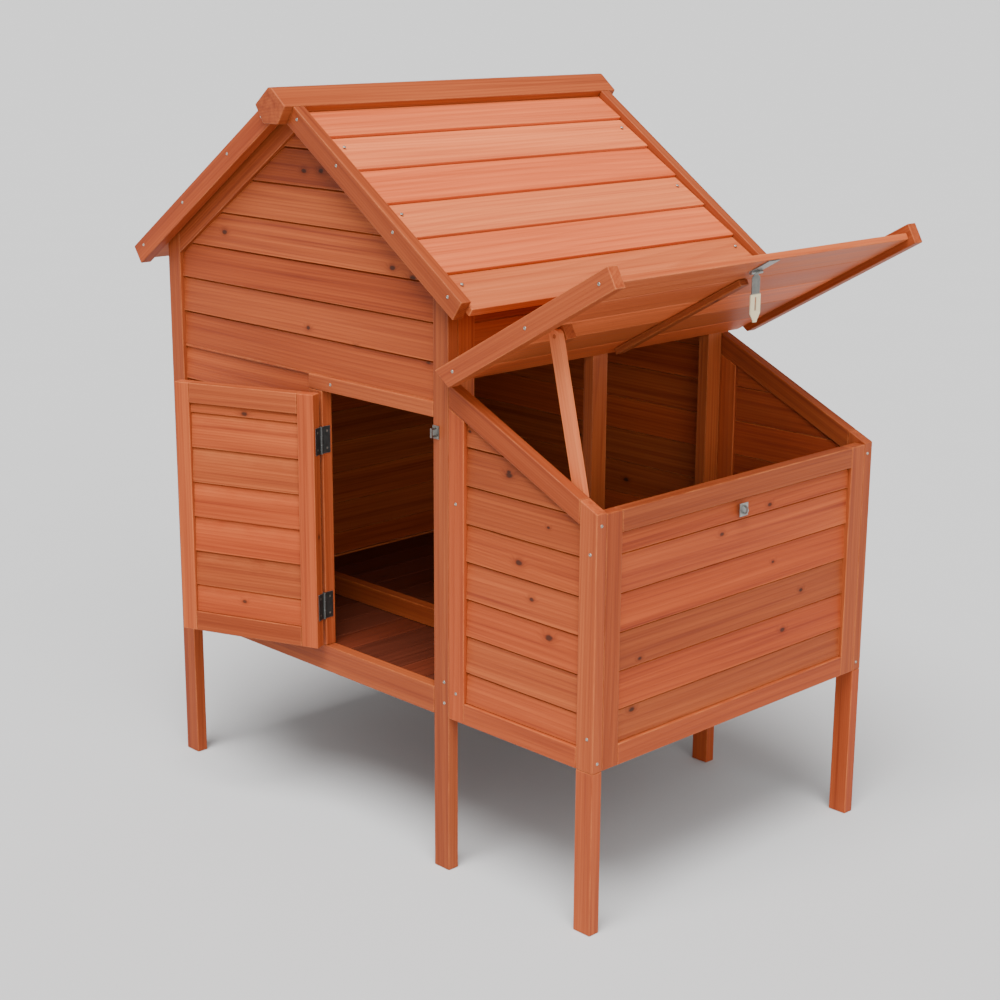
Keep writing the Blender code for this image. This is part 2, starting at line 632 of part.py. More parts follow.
def door_hinge(root, door, name, z):
    """A butt hinge on the door's vertical axis: leaves on the jamb reveal and on the door's edge."""
    low = z - HINGE_TALL / 2
    first, middle, last = knuckle_bands(HINGE_TALL)
    start, end = KNUCKLE + GAP, DOOR_LEAF_END
    plate = DOOR_LEAF_FIXED

    def world(near, far):
        return ((DOOR_AXIS_X + near[0], DOOR_AXIS_Y + near[1], near[2]),
                (DOOR_AXIS_X + far[0], DOOR_AXIS_Y + far[1], far[2]))

    fixed = box(*world((plate[0], start, low), (plate[1], end, low + HINGE_TALL)))
    fixed = add("door_hinge_%s_fixed" % name, fixed, hinge_steel(), root)
    for band in (first, last):
        tab = world((plate[0], 0.0, low + band[0]), (plate[1], 0.005, low + band[1]))
        combine(fixed, box(*tab), "UNION")
        barrel = rod("Z", (DOOR_AXIS_X, DOOR_AXIS_Y), KNUCKLE, low + band[0], low + band[1])
        combine(fixed, barrel, "UNION")
    pin = rod("Z", (DOOR_AXIS_X, DOOR_AXIS_Y), PIN, low + 0.001, low + HINGE_TALL - 0.001)
    combine(fixed, pin, "UNION")
    plate = DOOR_LEAF_MOVING
    moving = box((plate[0], start, low), (plate[1], end, low + HINGE_TALL))
    moving = add("door_hinge_%s_moving" % name, moving, hinge_steel(), door)
    combine(moving, box((plate[0], PIN + 2 * GAP, low + middle[0]), (plate[1], 0.005, low + middle[1])),
            "UNION")
    barrel = rod("Z", (0.0, 0.0), KNUCKLE, low + middle[0], low + middle[1])
    combine(moving, barrel, "UNION")
    combine(moving, rod("Z", (0.0, 0.0), PIN + GAP, low - 0.01, low + HINGE_TALL + 0.01), "DIFFERENCE")


def latch(root, door, slide):
    """Slide bolt on the door's outer face and the keeper on the post beside it."""
    face = -DOOR_AXIS_Y
    low, high = BOLT_Z - HASP_HALF, BOLT_Z + HASP_HALF
    base = box((BOLT_BASE_RUN[0], face - GAP - PLATE_THICK, low), (BOLT_BASE_RUN[1], face - GAP, high))
    base = add("bolt_base", base, hinge_steel(), door)
    for start in BOLT_GUIDES:
        guide = box((start, BOLT_Y - GUIDE_HIGH + 0.0003, BOLT_Z - GUIDE_HIGH),
                    (start + GUIDE_WIDE, face - PLATE_THICK + GAP, BOLT_Z + GUIDE_HIGH))
        combine(base, guide, "UNION")
    hole = rod("X", (BOLT_Y, BOLT_Z), BOLT_HOLE, BOLT_BASE_RUN[0] - GUIDE_WIDE,
               BOLT_BASE_RUN[1] + GUIDE_WIDE)
    combine(base, hole, "DIFFERENCE")
    bar = add("bolt_rod", rod("X", (0.0, 0.0), BOLT_RADIUS, *BOLT_REACH), bright_steel(), slide)
    combine(bar, rod("Y", (-0.005, 0.0), 0.002, -0.011, -0.001), "UNION")
    left = HOUSE_X - POST_X + 0.001
    keeper = box((left, -GAP - PLATE_THICK, BOLT_Z - KEEPER_HALF),
                 (left + KEEPER_WIDE, -GAP, BOLT_Z + KEEPER_HALF))
    keeper = add("latch_keeper", keeper, bright_steel(), root)
    outline = [(-0.001, -0.0070), (-0.0115, -0.0070), (-0.0115, 0.0070), (-0.001, 0.0070),
               (-0.001, 0.0045), (-0.0090, 0.0045), (-0.0090, -0.0045), (-0.001, -0.0045)]
    arch = [(y, BOLT_Z + z) for y, z in outline]
    combine(keeper, prism("YZ", arch, left + 0.005, left + 0.008), "UNION")


def centre_on_ground(root):
    """Moves everything so that the origin is under the middle of the object."""
    bpy.context.view_layer.update()
    graph = bpy.context.evaluated_depsgraph_get()
    xs, ys = [], []
    for obj in bpy.data.objects:
        if obj.type != "MESH" or obj.hide_render:
            continue
        shown = obj.evaluated_get(graph)
        mesh = shown.to_mesh()
        for vertex in mesh.vertices:
            place = shown.matrix_world @ vertex.co
            xs.append(place.x)
            ys.append(place.y)
        shown.to_mesh_clear()
    root.location = (-(min(xs) + max(xs)) / 2, -(min(ys) + max(ys)) / 2, 0.0)
    bpy.context.view_layer.update()


def build():
    clear_scene()
    root = empty("house_origin", None, (0.0, 0.0, 0.0))
    lid = empty("lid_axis", root, (LID_AXIS_X, 0.0, LID_AXIS_Z), (0.0, -LID_OPEN, 0.0))
    strap_pin = empty("strap_axis", lid, (HASP_RUN, HASP_Y, HASP_DROP), (0.0, LID_OPEN, 0.0))
    prop_pin = empty("prop_axis", lid, (PROP_RUN, 0.0, PROP_DROP), (0.0, LID_OPEN - PROP_LEAN, 0.0))
    door = empty("door_axis", root, (DOOR_AXIS_X, DOOR_AXIS_Y, 0.0), (0.0, 0.0, -DOOR_OPEN))
    slide = empty("bolt_axis", door, (BOLT_X, BOLT_Y, BOLT_Z))
    corner_posts(root)
    bottom_rails(root)
    front_door_frame(root)
    rafters(root, "front_rafters", 0.0)
    rafters(root, "back_rafters", HOUSE_Y - STOCK)
    house_walls(root)
    right_wall_posts(root)
    inside_house(root)
    ridge_cap(root)
    roof_side(root, "left", -1)
    roof_side(root, "right", 1)
    nest_frame(root)
    nest_outer_panel(root)
    lid_boards(lid)
    lid_battens(lid)
    for end, y in zip(("front", "back"), LID_HINGE_Y):
        lid_hinge(root, lid, end, y)
    hasp(root, lid, strap_pin)
    prop(lid, prop_pin)
    door_panel(door)
    for name, z in zip(("top", "bottom"), DOOR_HINGE_Z):
        door_hinge(root, door, name, z)
    latch(root, door, slide)
    centre_on_ground(root)


build()
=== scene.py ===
"""Stained fir hen house with a side nest box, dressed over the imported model.

House coordinates: metres from the foot of the front left post, x along the door wall, y to the back
and z up. Lid coordinates: along the lid from its hinge axis, y, and square to the lid. Door
coordinates: along the door from its hinge axis, through its thickness, and z.
"""

import json
import math
import random

import bmesh
import bpy
from mathutils import Matrix, Vector


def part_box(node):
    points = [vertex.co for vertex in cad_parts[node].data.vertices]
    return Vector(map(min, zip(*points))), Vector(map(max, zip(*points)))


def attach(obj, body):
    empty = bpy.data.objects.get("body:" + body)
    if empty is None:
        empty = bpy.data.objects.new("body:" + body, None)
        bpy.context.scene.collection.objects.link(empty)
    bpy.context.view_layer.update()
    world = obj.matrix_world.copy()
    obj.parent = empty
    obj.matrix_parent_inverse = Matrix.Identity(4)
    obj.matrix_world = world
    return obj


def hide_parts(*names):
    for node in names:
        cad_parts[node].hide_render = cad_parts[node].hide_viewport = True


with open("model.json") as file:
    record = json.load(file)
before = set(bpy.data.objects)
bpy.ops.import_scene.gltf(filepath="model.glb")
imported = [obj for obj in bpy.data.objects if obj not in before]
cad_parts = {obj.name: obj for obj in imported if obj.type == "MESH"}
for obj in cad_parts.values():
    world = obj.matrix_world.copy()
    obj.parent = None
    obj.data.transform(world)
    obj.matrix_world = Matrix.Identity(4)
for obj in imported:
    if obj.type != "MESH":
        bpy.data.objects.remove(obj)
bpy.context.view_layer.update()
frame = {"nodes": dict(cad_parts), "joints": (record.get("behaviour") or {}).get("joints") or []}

GAP = 0.0004  # joint between two pieces of wood
ARRIS = 0.0013  # rounding of a planed edge

# Slopes, and how far the lid and the door stand open at rest
ROOF_ANGLE = math.radians(34.6)
LID_OPEN = math.radians(29.2)
LID_SHUT = math.radians(24.8)
DOOR_OPEN = math.radians(158.0)

# Wall boards: cover width, height of one lap line, and depths behind the board's own face
LAP_PITCH = 0.0586
FIRST_LAP_Z = 0.338
LAP_SLOPE = 0.0034
LAP_BEVEL = 0.0030
LAP_COVER = 0.0030
LAP_MIDDLE = 0.0068
BOARD_BACK = 0.0108
BOARD_INSET = 0.005  # boards lie this far behind the face of their frame
LAST_LAP = 0.004  # no lap line comes nearer than this to the end of a wall
FLOOR_PITCH = 0.060

# Roof, measured down its slope (run) and square to it below its top plane (depth)
ROOF_PITCH = 0.079
FIRST_ROOF_LAP = 0.110
BOARDS_RUN = 0.505
VERGE_RUN = 0.497
CAP_RUN = 0.0451
UNDER_BOARDS = 0.0224
RAFTER_LOW = 0.056
UNDER_RAFTERS = 0.0564
GABLE_TOP = 1.123
OVERHANG = 0.029  # of the verges and the lid's battens past the door wall and the back wall
BROAD_ARRIS = 0.0016

# Frame sticks that share a node with others
JAMB_LEFT, JAMB_RIGHT = 0.373, 0.406
HEADER_LOW = 0.724
NEST_RAIL_TOP = 0.288
OUTER_RAIL_LOW = 0.606
OUTER_END = 0.0534  # where the outer boards start, from the door wall

# Door boards, which are lapped on both faces
DOOR_LOW, DOOR_HIGH = 0.301, 0.722
DOOR_FACE = 0.003
DOOR_SLOPE = 0.003
DOOR_CHAMFER = 0.0016
DOOR_TONGUE = 0.0026

SCREW_RADIUS = 0.0026
ROOF_SCREW_RADIUS = 0.0028
FLUSH_HEAD = 0.0018  # heads up to this radius lie nearly flush
SCREW_STEPS = 16

COS, SIN, TAN = math.cos(ROOF_ANGLE), math.sin(ROOF_ANGLE), math.tan(ROOF_ANGLE)
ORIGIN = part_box("post_front_left")[0]
HOUSE = Matrix.Translation(ORIGIN)
JOINTS = {joint["name"]: joint for joint in frame["joints"]}


def extent(node):
    """A node's box in house coordinates."""
    low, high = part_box(node)
    return low - ORIGIN, high - ORIGIN


HOUSE_X, HOUSE_Y = extent("post_back_right")[1].xy
NEST_X = extent("nest_post_front")[1].x
STOCK = extent("post_front_left")[1].y
RAIL = extent("post_front_left")[1].x
SILL_TOP = extent("front_bottom_rail")[1].z
RAIL_LOW = extent("front_bottom_rail")[0].z
MID_X = HOUSE_X / 2
RIDGE_Z = 1.1915
RIM_Z = 0.6407

LID_PLACE = Vector(JOINTS["lid_hinge"]["pos_m"])
LID_PLACE.y = ORIGIN.y
LID = Matrix.Translation(LID_PLACE) @ Matrix.Rotation(-LID_OPEN, 4, "Y")
DOOR_PLACE = Vector(JOINTS["door_hinge"]["pos_m"])
DOOR_PLACE.z = 0.0
DOOR = Matrix.Translation(DOOR_PLACE) @ Matrix.Rotation(-DOOR_OPEN, 4, "Z")


# ---------------------------------------------------------------- shapes

def corner(plane, across, up, along):
    """A point of an outline drawn in a plane, at a distance along the third axis."""
    if plane == "XZ":
        return (across, along, up)
    if plane == "YZ":
        return (along, across, up)
    return (across, up, along)


def prism(plane, outline, low, high):
    """An outline in one of the three planes, pushed from low to high along the third axis."""
    shape = bmesh.new()
    face = shape.faces.new([shape.verts.new(corner(plane, a, b, low)) for a, b in outline])
    pushed = bmesh.ops.extrude_face_region(shape, geom=[face])
    moved = [item for item in pushed["geom"] if isinstance(item, bmesh.types.BMVert)]
    bmesh.ops.translate(shape, verts=moved, vec=Vector(corner(plane, 0.0, 0.0, high - low)))
    return shape


def box(low, high):
    outline = [(low[0], low[2]), (high[0], low[2]), (high[0], high[2]), (low[0], high[2])]
    return prism("XZ", outline, low[1], high[1])


def cut(shape, place, normal):
    """Takes off what lies beyond a plane and closes the cut."""
    whole = shape.verts[:] + shape.edges[:] + shape.faces[:]
    made = bmesh.ops.bisect_plane(shape, geom=whole, plane_co=place, plane_no=normal, clear_outer=True)
    rim = [item for item in made["geom_cut"] if isinstance(item, bmesh.types.BMEdge)]
    if rim:
        bmesh.ops.contextual_create(shape, geom=rim)
    return shape


def roof_z(x, depth):
    """Height at x of the plane that lies at a depth below the roof's top plane."""
    return RIDGE_Z - abs(x - MID_X) * TAN - depth / COS


def roof_point(run, depth, side):
    """Point (x, z) of the roof's section; side is -1 on the left and 1 on the right."""
    return (MID_X + side * (run * COS - depth * SIN), RIDGE_Z - run * SIN - depth * COS)


def under_roof(shape, depth, sides=(-1, 1)):
    """Trims boards to the slope of the roof."""
    for side in sides:
        x, z = roof_point(0.1, depth, side)
        cut(shape, Vector((x, 0.0, z)), Vector((side * SIN, 0.0, COS)))
    return shape


def rim_z(x):
    """Height of the nest box's sloping rim at x."""
    return RIM_Z + (NEST_X - x) * math.tan(LID_SHUT)


# ---------------------------------------------------------------- looks

class Nodes:
    """Short calls for building one material's node tree."""

    def __init__(self, name):
        self.material = bpy.data.materials.new(name)
        self.material.use_nodes = True
        self.tree = self.material.node_tree
        self.shader = self.tree.nodes["Principled BSDF"]

    def add(self, kind, settings=None, inputs=None):
        node = self.tree.nodes.new("ShaderNode" + kind)
        for key, value in (settings or {}).items():
            setattr(node, key, value)
        for key, value in (inputs or {}).items():
            self.feed(node.inputs[key], value)
        return node

    def feed(self, socket, value):
        if isinstance(value, bpy.types.NodeSocket):
            self.tree.links.new(value, socket)
        else:
            socket.default_value = value

    def math(self, operation, first, second=0.0, third=0.0):
        return self.add("Math", {"operation": operation}, {0: first, 1: second, 2: third}).outputs[0]

    def scaled(self, vector, scale):
        return self.add("Mapping", {}, {"Vector": vector, "Scale": scale}).outputs[0]

    def noise(self, vector, scale, detail, roughness=0.5):
        """Noise with its own number of cells per metre along each axis."""
        inputs = {"Vector": self.scaled(vector, scale), "Scale": 1.0, "Detail": detail,
                  "Roughness": roughness}
        return self.add("TexNoise", {}, inputs).outputs["Fac"]

    def ramp(self, value, stops):
        node = self.add("ValToRGB", {}, {"Fac": value})
        points = node.color_ramp.elements
        while len(points) < len(stops):
            points.new(0.5)
        for point, (place, colour) in zip(points, stops):
            point.position = place
            point.color = colour if len(colour) == 4 else (*colour, 1.0)
        return node.outputs["Color"]

    def level(self, value, low, high, start=0.0, end=1.0):
        inputs = {"Value": value, "From Min": low, "From Max": high, "To Min": start, "To Max": end}
        return self.add("MapRange", {"clamp": True}, inputs).outputs["Result"]

    def near_edge(self, radius):
        """1 on an arris and 0 on a broad face."""
        soft = self.add("Bevel", {"samples": BEVEL_SAMPLES}, {"Radius": radius}).outputs["Normal"]
        hard = self.add("NewGeometry").outputs["True Normal"]
        same = self.add("VectorMath", {"operation": "DOT_PRODUCT"}, {0: soft, 1: hard})
        return self.level(same.outputs["Value"], FLAT_COSINE, ARRIS_COSINE)

    def blend(self, factor, first, second, mode="MIX"):
        """Mixes two colours; sockets 0, 6, 7 and 2 are the Mix node's factor, A, B and result."""
        node = self.add("Mix", {"data_type": "RGBA", "blend_type": mode},
                        {0: factor, 6: first, 7: second})
        return node.outputs[2]


def rgba(colour, gain=1.0):
    return (*(min(1.0, part * gain) for part in colour), 1.0)


TONES = {
    "frame": ((0.370, 0.076, 0.0215), (0.300, 0.056, 0.0155), (0.150, 0.023, 0.0075)),
    "board": ((0.380, 0.076, 0.0205), (0.300, 0.054, 0.0145), (0.140, 0.020, 0.0070)),
    "roof": ((0.620, 0.145, 0.0460), (0.530, 0.112, 0.0340), (0.310, 0.052, 0.0160)),
    # The floor tone is much darker than the other boards: it paints the shade that lies on the floors
    # inside the house and the nest box.
    "floor": ((0.105, 0.022, 0.0100), (0.085, 0.017, 0.0080), (0.045, 0.009, 0.0040)),
    "pale": ((0.700, 0.180, 0.0620), (0.610, 0.145, 0.0480), (0.400, 0.078, 0.0250)),
}
# Colour of the arrises: bare wood where the stain is rubbed off, and also a painted highlight along the
# edges.
BARE_AND_HIGHLIGHT = (0.620, 0.210, 0.070)
KNOT = (0.042, 0.013, 0.007)
NO_KNOT = 20.0  # a distance in knot radii that is beyond any knot's halo
KNOT_STRETCH = 0.62
WOOD_SPECULAR = 0.14
# How far the lightened arrises reach; they are partly wear and partly painted highlight.
WEAR_AND_HIGHLIGHT_RADIUS = 0.0022
RUBBED_STEEL = (0.75, 0.75, 0.73, 1.0)
BARE_STRAP = 0.031  # length of the hasp strap below its pin that is still zinc
BEVEL_SAMPLES = 4
FLAT_COSINE, ARRIS_COSINE = 0.995, 0.93


def knot_reach(n, place, turn, spots):
    """Distance to the nearest knot in knot radii; a knot is drawn out along the grain."""
    reach = NO_KNOT
    for centre, radius in spots:
        away = n.add("VectorMath", {"operation": "SUBTRACT"}, {0: place, 1: centre}).outputs[0]
        lying = n.add("Mapping", {}, {"Vector": away, "Rotation": turn}).outputs[0]
        round_one = n.scaled(lying, (KNOT_STRETCH / radius, 1.0 / radius, 1.0 / radius))
        length = n.add("VectorMath", {"operation": "LENGTH"}, {0: round_one})
        reach = n.math("MINIMUM", reach, length.outputs["Value"])
    return reach


def wood(name, grain, tone, spots=()):
    """Stained fir with its grain along one direction, and its own place in the log."""
    dice = random.Random(name)
    light, middle, dark = TONES[tone]
    n = Nodes("wood_" + name)
    turn = Vector(grain).normalized().rotation_difference(Vector((1.0, 0.0, 0.0))).to_euler()
    place = n.add("TexCoord").outputs["Object"]
    shift = [dice.uniform(-9.0, 9.0) for _ in range(3)]
    along = n.add("Mapping", {}, {"Vector": place, "Rotation": turn, "Location": shift}).outputs[0]

    reach = knot_reach(n, place, turn, spots)
    ripple = n.noise(along, (90.0, 200.0, 200.0), 2.0)
    reach = n.math("MULTIPLY_ADD", ripple, 0.7, reach)
    core = n.level(reach, 0.95, 1.45, 1.0, 0.0)
    halo = n.level(reach, 0.9, 3.8, 1.0, 0.0)
    halo = n.math("MULTIPLY", halo, halo)

    # Growth rings: distance from a pith that wanders along the board, pushed aside at knots
    drift = n.noise(along, (0.9, 5.0, 5.0), 1.0)
    wander = n.noise(along, (2.2, 30.0, 30.0), 2.0)
    parts = n.add("SeparateXYZ", {}, {"Vector": along})
    across = n.add("CombineXYZ", {}, {"X": 0.0, "Y": parts.outputs["Y"], "Z": parts.outputs["Z"]})
    log = dice.choice(((0.06, 0.07), (-0.05, 0.08), (0.08, -0.05), (0.03, 0.09)))
    pith = (0.0, shift[1] + log[0], shift[2] + log[1])
    spread = n.add("VectorMath", {"operation": "DISTANCE"}, {0: across.outputs[0], 1: pith})
    radius = n.math("MULTIPLY_ADD", drift, 0.045, spread.outputs["Value"])
    radius = n.math("MULTIPLY_ADD", wander, 0.0016, radius)
    radius = n.math("MULTIPLY_ADD", halo, 0.012, radius)
    phase = n.math("FRACT", n.math("MULTIPLY", radius, dice.uniform(170.0, 270.0)))
    late = n.math("MULTIPLY", n.math("POWER", phase, 2.2), n.level(phase, 0.90, 1.0, 1.0, 0.0))

    fibre = n.noise(along, (5.0, 380.0, 380.0), 3.0, 0.60)
    streak = n.noise(along, (1.5, 110.0, 110.0), 2.0, 0.50)
    blotch = n.noise(along, (2.0, 20.0, 20.0), 1.0, 0.50)
    broad = n.noise(along, (1.1, 8.0, 8.0), 1.0)

    tone_value = n.math("MULTIPLY_ADD", streak, 0.58, n.math("MULTIPLY", blotch, 0.10))
    tone_value = n.math("MULTIPLY_ADD", fibre, 0.32, tone_value)
    colour = n.ramp(tone_value, ((0.30, rgba(dark, 1.25)), (0.46, middle), (0.62, light)))
    colour = n.blend(n.math("MULTIPLY", late, 0.42), colour, rgba(dark, 1.2))
    colour = n.blend(n.level(broad, 0.42, 0.75, 0.0, 0.28), colour, rgba(dark, 1.5))
    colour = n.blend(n.math("MULTIPLY", halo, 0.62), colour, rgba(dark, 0.9))
    colour = n.blend(n.math("MULTIPLY", core, 0.86), colour, rgba(KNOT))
    tint = 1.0 + dice.uniform(-0.20, 0.22)
    warm = dice.uniform(-0.09, 0.16)
    cast = (tint, tint * (1.0 + warm), tint * (1.0 + 1.5 * warm), 1.0)
    colour = n.blend(1.0, colour, cast, "MULTIPLY")

    # Arrises lightened, partly where the stain has rubbed thin and partly as a painted highlight along
    # the edges, broken up by noise
    wear_highlight_breakup = n.noise(along, (18.0, 60.0, 60.0), 3.0, 0.7)
    wear_and_highlight = n.math("MULTIPLY", n.near_edge(WEAR_AND_HIGHLIGHT_RADIUS), n.level(wear_highlight_breakup, 0.36, 0.62, 0.05, 0.50))
    if tone != "floor":
        colour = n.blend(wear_and_highlight, colour, rgba(BARE_AND_HIGHLIGHT))

    n.feed(n.shader.inputs["Base Color"], colour)
    rough = n.math("MULTIPLY_ADD", streak, 0.22, n.math("MULTIPLY_ADD", blotch, 0.12, 0.34))
    n.feed(n.shader.inputs["Roughness"], rough)
    n.shader.inputs["Specular IOR Level"].default_value = WOOD_SPECULAR
    height = n.math("MULTIPLY_ADD", late, -0.35, n.math("MULTIPLY", fibre, 0.8))
    height = n.math("MULTIPLY_ADD", core, -0.6, height)
    bump = n.add("Bump", {}, {"Strength": 0.40, "Distance": 0.0007, "Height": height})
    n.feed(n.shader.inputs["Normal"], bump.outputs["Normal"])
    return n.material


def steel(name, colour, rough, pale=None):
    """Zinc plate with faint brushing, dull patches and rubbed edges. pale colours the strap's end."""
    n = Nodes("steel_" + name)
    place = n.add("TexCoord").outputs["Object"]
    patches = n.noise(place, (90.0, 90.0, 90.0), 4.0, 0.6)
    brush = n.noise(place, (900.0, 900.0, 60.0), 2.0)
    look = n.ramp(patches, ((0.30, tuple(part * 0.65 for part in colour)), (0.70, colour)))
    if pale:
        height = n.add("SeparateXYZ", {}, {"Vector": place}).outputs["Z"]
        split = JOINTS["strap_pin"]["pos_m"][2] - BARE_STRAP
        look = n.blend(n.level(height, split, split - 0.002), look, rgba(pale))
    look = n.blend(n.math("MULTIPLY", n.near_edge(0.0006), 0.5), look, RUBBED_STEEL)
    n.feed(n.shader.inputs["Base Color"], look)
    n.shader.inputs["Metallic"].default_value = 0.55 if pale else 0.92
    n.feed(n.shader.inputs["Roughness"], n.math("MULTIPLY_ADD", patches, 0.22, rough))
    bump = n.add("Bump", {}, {"Strength": 0.25, "Distance": 0.0002, "Height": brush})
    n.feed(n.shader.inputs["Normal"], bump.outputs["Normal"])
    return n.material


def paper(name, colour):
    """The studio floor's plain matt finish."""
    n = Nodes(name)
    place = n.add("TexCoord").outputs["Object"]
    speck = n.noise(place, (3.0, 3.0, 3.0), 3.0)
    tone = n.ramp(speck, ((0.3, rgba(colour, 0.985)), (0.7, colour)))
    n.feed(n.shader.inputs["Base Color"], tone)
    n.shader.inputs["Roughness"].default_value = 0.95
    n.shader.inputs["Specular IOR Level"].default_value = 0.1
    return n.material


# ---------------------------------------------------------------- pieces

def rounded(obj, width, segments=2):
    """Takes the sharp arrises off."""
    bevel = obj.modifiers.new("Arris", "BEVEL")
    bevel.width = width
    bevel.segments = segments
    bevel.limit_method = "ANGLE"
    bevel.angle_limit = math.radians(28)
    bevel.harden_normals = True
    obj.data.shade_smooth()


def steady(place):
    """A sort key that is the same on every run, whatever order a shape's faces come in."""
    return tuple(round(part, 5) for part in place)


def steady_mesh(name, shape):
    """The shape as a mesh whose points and faces come in the same order on every run."""
    verts = sorted(shape.verts, key=lambda v: steady(v.co))
    index = {v: i for i, v in enumerate(verts)}
    faces = []
    for face in shape.faces:
        ring = [index[v] for v in face.verts]
        first = ring.index(min(ring))
        faces.append(ring[first:] + ring[:first])
    mesh = bpy.data.meshes.new(name)
    mesh.from_pydata([v.co for v in verts], [], sorted(faces))
    return mesh


def piece(name, shape, matrix, body, look, nodes, width):
    """A new visible piece from a shape, riding on a body and standing for CAD nodes."""
    bmesh.ops.transform(shape, matrix=matrix, verts=shape.verts)
    bmesh.ops.recalc_face_normals(shape, faces=shape.faces)
    mesh = steady_mesh(name, shape)
    shape.free()
    mesh.materials.append(look)
    obj = bpy.data.objects.new(name, mesh)
    bpy.context.scene.collection.objects.link(obj)
    if width:
        rounded(obj, width)
    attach(obj, body)
    if nodes:
        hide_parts(*nodes)
    return obj


# Knots that show on the door wall and on the nest box, in house coordinates, with their radii
SEEN_KNOTS = (
    ((0.153, 0.0065, 0.950), 0.0042),
    ((0.571, 0.0065, 0.936), 0.0040),
    ((0.618, 0.0065, 0.926), 0.0044),
    ((0.170, 0.0065, 1.012), 0.0026),
    ((0.368, 0.0065, 0.819), 0.0034),
    ((0.485, 0.0065, 0.806), 0.0026),
    ((0.648, 0.0065, 0.803), 0.0040),
    ((0.905, 0.0065, 0.436), 0.0052),
    ((0.870, 0.0065, 0.486), 0.0034),
    ((0.902, 0.0065, 0.601), 0.0020),
    ((0.9955, 0.283, 0.556), 0.0034),
    ((0.9955, 0.394, 0.582), 0.0034),
    ((0.9955, 0.410, 0.487), 0.0026),
    ((0.9955, 0.485, 0.425), 0.0032),
    ((0.9955, 0.441, 0.369), 0.0038),
    ((0.9955, 0.103, 0.405), 0.0028),
    ((0.9955, 0.090, 0.329), 0.0040),
)


def knots(name, shape, matrix, tone):
    """Knots of one board: the named ones that lie in it and a few by chance on its broad faces."""
    dice = random.Random("knots" + name)
    low = Vector(min(v.co[i] for v in shape.verts) for i in range(3))
    high = Vector(max(v.co[i] for v in shape.verts) for i in range(3))
    spots = []
    for centre, radius in SEEN_KNOTS:
        if matrix is HOUSE and all(low[i] - 0.002 < centre[i] < high[i] + 0.002 for i in range(3)):
            spots.append((matrix @ Vector(centre), radius))
    broad = max(face.calc_area() for face in shape.faces) * 0.6
    faces = [face for face in shape.faces if face.calc_area() > broad]
    faces.sort(key=lambda face: steady(face.calc_center_median()))
    share = (0, 0, 0, 1, 1, 2) if tone in ("board", "roof") else (0, 0, 0, 0, 1)
    for _ in range(0 if spots else dice.choice(share)):
        verts = sorted(dice.choice(faces).verts, key=lambda v: steady(v.co))
        weights = [dice.random() + 0.1 for _ in verts]
        spot = sum((v.co * w for v, w in zip(verts, weights)), Vector()) / sum(weights)
        spots.append((matrix @ spot, dice.uniform(0.0022, 0.0050)))
    return spots


def timber(name, shape, grain, tone, nodes=(), matrix=HOUSE, body="house", width=ARRIS):
    """One planed stick or board, with its grain direction in its own coordinates."""
    along = matrix.to_3x3() @ Vector(grain)
    look = wood(name, along, tone, knots(name, shape, matrix, tone))
    return piece(name, shape, matrix, body, look, nodes, width)


def wall_boards(node, side, face, ends, heights, tone="board", trim=None):
    """Separate lapped boards: each is proud at its lower edge and tucked under the next at its top.

    side names the direction that the wall faces, face is where its boards' lower edges lie, and ends
    and heights are the span of the boards.
    """
    outward = -1.0 if side[0] == "-" else 1.0
    plane, grain = ("YZ", (1, 0, 0)) if side[1] == "Y" else ("XZ", (0, 1, 0))
    low, high = heights
    lines = [low]
    line = FIRST_LAP_Z + LAP_PITCH * math.floor((low - FIRST_LAP_Z) / LAP_PITCH + 1e-6) + LAP_PITCH
    while line < high - LAST_LAP:
        lines.append(line)
        line += LAP_PITCH
    lines.append(high)
    for i, (start, end) in enumerate(zip(lines, lines[1:])):
        name = "%s_%02d" % (node, i + 1)
        dice = random.Random("set" + name)
        proud = dice.uniform(-0.0002, 0.0004)
        share = min(1.0, (end - start) / LAP_PITCH)
        lap = LAP_SLOPE * share + proud
        tongue = 0.0 if end == high else LAP_COVER - GAP
        rebate = GAP if start == low else LAP_COVER
        profile = [(start + GAP, proud), (end - LAP_BEVEL, lap), (end - GAP, lap + LAP_BEVEL),
                   (end - GAP, LAP_MIDDLE + GAP), (end + tongue - GAP, LAP_MIDDLE + GAP),
                   (end + tongue - GAP, BOARD_BACK), (start + rebate, BOARD_BACK),
                   (start + rebate, LAP_MIDDLE), (start + GAP, LAP_MIDDLE)]
        outline = [(face - outward * depth, z) for z, depth in profile]
        shape = prism(plane, outline, *ends)
        if trim:
            trim(shape)
        if len(shape.faces) > 3:
            timber(name, shape, grain, tone, (node,))
        else:
            shape.free()


def floor_planks(node):
    first, last = extent(node)
    low, x, i = first.x, last.x, 0
    while x > low + LAST_LAP:
        start = max(low, x - FLOOR_PITCH)
        i += 1
        worn_down = random.Random("floor%s%d" % (node, i)).uniform(0, 0.0006)
        shape = box((start + GAP, first.y, first.z), (x - GAP, last.y, last.z - worn_down))
        # The dark floor tone paints the shade that lies on these floors.
        timber("%s_%02d" % (node, i), shape, (0, 1, 0), "floor", (node,))
        x = start


